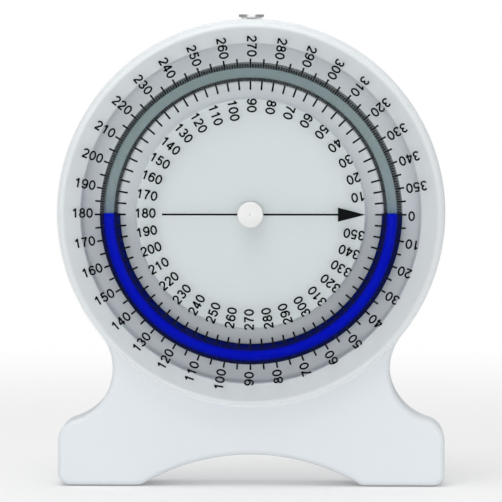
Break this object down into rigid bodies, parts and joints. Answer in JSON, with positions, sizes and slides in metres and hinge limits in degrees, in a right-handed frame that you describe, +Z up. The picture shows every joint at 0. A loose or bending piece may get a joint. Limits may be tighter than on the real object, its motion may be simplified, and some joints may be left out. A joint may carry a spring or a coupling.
{
  "type": "bubble inclinometer",
  "caption": "Gravity goniometer: round head with a liquid ring level and a clear turning dial, on splayed feet with an arch between them.",
  "frame": {"origin": "bottom centre of the box, on the surface that the feet stand on", "axes": "+Z up, front face towards -Y, +X to the right when seen from the front"},
  "size_m": [0.105, 0.0254, 0.1277],
  "materials": {
    "housing_white": "moulded white ABS, fine satin",
    "cap_white": "moulded white, semi gloss",
    "clear_dial": "clear acrylic, polished, with printed scales",
    "clear_tube": "clear tube, slightly smoky",
    "blue_liquid": "dyed blue liquid",
    "plug_rubber": "black rubber",
    "bush_acetal": "natural acetal",
    "washer_nylon": "natural nylon",
    "plated_steel": "nickel plated steel",
    "spring_steel": "bright spring steel"
  },
  "bodies": {
    "housing": {"front_housing": "housing_white", "rear_cover": "housing_white", "case_screws": "plated_steel", "ring_tube": "clear_tube", "filler_plug": "plug_rubber", "hub_pin": "plated_steel", "hub_cap": "cap_white", "thrust_washer": "washer_nylon", "wave_washer": "spring_steel", "pin_washer": "washer_nylon", "push_nut": "spring_steel", "top_plug": "plated_steel", "plug_washer": "washer_nylon"},
    "dial": {"dial": "clear_dial", "dial_bush": "bush_acetal"},
    "fluid": {"blue_fluid": "blue_liquid"}
  },
  "joints": [
    {"name": "dial_spin", "type": "hinge", "parent": "housing", "child": "dial", "pos_m": [0, -0.0097, 0.074], "axis": [0, -1, 0], "continuous": true},
    {"name": "fluid_level", "type": "hinge", "parent": "housing", "child": "fluid", "pos_m": [0, -0.00455, 0.074], "axis": [0, -1, 0], "continuous": true}
  ]
}
